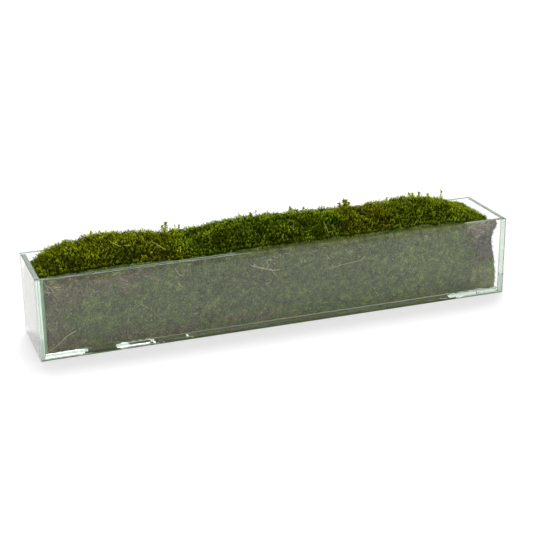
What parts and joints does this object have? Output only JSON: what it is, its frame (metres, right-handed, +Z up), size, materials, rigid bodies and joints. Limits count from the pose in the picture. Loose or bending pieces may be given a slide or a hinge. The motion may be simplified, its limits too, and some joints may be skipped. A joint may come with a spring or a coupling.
{
  "type": "moss-filled glass trough",
  "caption": "Long clear glass trough packed with sheet moss and mounded green moss clumps that rise above its rim.",
  "frame": {"origin": "middle of the trough's underside", "axes": "+X along the trough, +Z up, the front pane faces -Y"},
  "size_m": [0.6096, 0.1016, 0.1307],
  "materials": {
    "glass": "polished",
    "sheet_moss": "matte",
    "brown_moss": "matte",
    "moss_left": "matte",
    "moss_centre": "matte",
    "moss_olive": "matte",
    "moss_right": "matte",
    "moss_slope": "matte"
  },
  "bodies": {
    "root": {"front_pane": "glass", "back_pane": "glass", "left_end_pane": "glass", "right_end_pane": "glass", "base_pane": "glass", "front_mat_left": "sheet_moss", "front_mat_middle": "sheet_moss", "front_mat_right": "sheet_moss", "front_mat_corner": "sheet_moss", "back_mat_left": "sheet_moss", "back_mat_middle": "sheet_moss", "back_mat_right": "sheet_moss", "folded_scrap": "brown_moss", "clump_left": "moss_left", "clump_centre": "moss_centre", "clump_olive": "moss_olive", "clump_right": "moss_right", "clump_slope": "moss_slope"}
  },
  "joints": []
}
